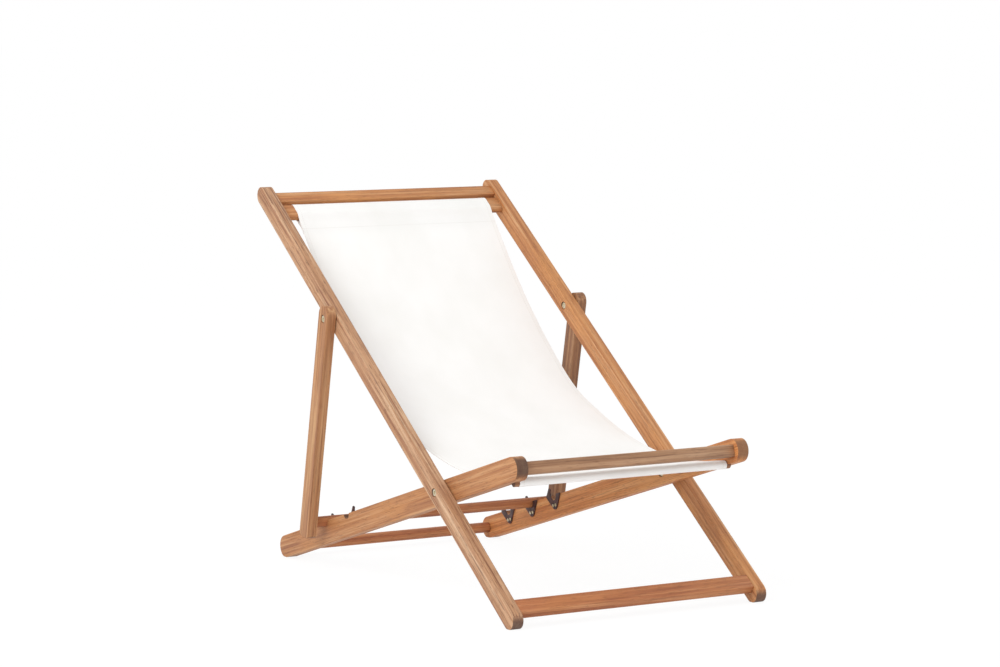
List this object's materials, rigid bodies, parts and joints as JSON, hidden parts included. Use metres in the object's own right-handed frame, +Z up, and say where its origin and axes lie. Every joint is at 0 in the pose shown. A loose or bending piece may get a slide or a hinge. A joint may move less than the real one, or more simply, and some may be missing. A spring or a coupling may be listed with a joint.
{
  "type": "folding deck chair",
  "caption": "Folding wooden deck chair: long back frame crossed by a seat frame, propping struts, notched rests with hooks and a canvas sling.",
  "frame": {"origin": "on the ground, under the middle of the chair's outline", "axes": "+Z up, +Y towards the back of the chair, +X to the chair's right as seen from the front looking towards +Y; the front foot is at -Y"},
  "size_m": [0.6256, 1.0696, 0.7943],
  "materials": {
    "oiled_wood": "oiled reddish brown hardwood, satin",
    "hook_metal": "dark brown coated plate",
    "bolt_steel": "bright plated steel",
    "canvas": "plain white woven canvas, matte"
  },
  "bodies": {
    "long_frame": {"long_rail_right": "oiled_wood", "long_rail_left": "oiled_wood", "top_bar": "oiled_wood", "foot_bar": "oiled_wood", "head_sling_bar": "oiled_wood", "seat_pivot_bolt_right": "bolt_steel", "seat_pivot_bolt_left": "bolt_steel", "seat_pivot_nut_right": "bolt_steel", "seat_pivot_nut_left": "bolt_steel", "seat_pivot_washer_right": "bolt_steel", "seat_pivot_washer_left": "bolt_steel", "strut_pivot_bolt_right": "bolt_steel", "strut_pivot_bolt_left": "bolt_steel", "strut_pivot_nut_right": "bolt_steel", "strut_pivot_nut_left": "bolt_steel", "strut_pivot_washer_right": "bolt_steel", "strut_pivot_washer_left": "bolt_steel", "sling": "canvas"},
    "seat_frame": {"seat_rail_right": "oiled_wood", "seat_rail_left": "oiled_wood", "front_bar": "oiled_wood", "front_sling_rod": "oiled_wood", "rear_bar": "oiled_wood", "rest_bar": "oiled_wood", "rest_hook_1_right": "hook_metal", "rest_hook_1_left": "hook_metal", "rest_hook_2_right": "hook_metal", "rest_hook_2_left": "hook_metal", "rest_hook_3_right": "hook_metal", "rest_hook_3_left": "hook_metal", "hook_screw_1a_right": "bolt_steel", "hook_screw_1a_left": "bolt_steel", "hook_screw_1b_right": "bolt_steel", "hook_screw_1b_left": "bolt_steel", "hook_screw_2a_right": "bolt_steel", "hook_screw_2a_left": "bolt_steel", "hook_screw_2b_right": "bolt_steel", "hook_screw_2b_left": "bolt_steel", "hook_screw_3a_right": "bolt_steel", "hook_screw_3a_left": "bolt_steel", "hook_screw_3b_right": "bolt_steel", "hook_screw_3b_left": "bolt_steel"},
    "strut_frame": {"strut_right": "oiled_wood", "strut_left": "oiled_wood"}
  },
  "joints": [
    {"name": "seat_pivot", "type": "hinge", "parent": "long_frame", "child": "seat_frame", "pos_m": [0, -0.23214, 0.22633], "axis": [1, 0, 0], "range_deg": [0, 46], "deforming": ["sling"]},
    {"name": "strut_pivot", "type": "hinge", "parent": "long_frame", "child": "strut_frame", "pos_m": [0, 0.19103, 0.53705], "axis": [1, 0, 0], "range_deg": [-65.5, 0]}
  ],
  "couplings": [
    {"joint": "strut_pivot", "follows": "seat_pivot", "ratio": -1.42}
  ]
}
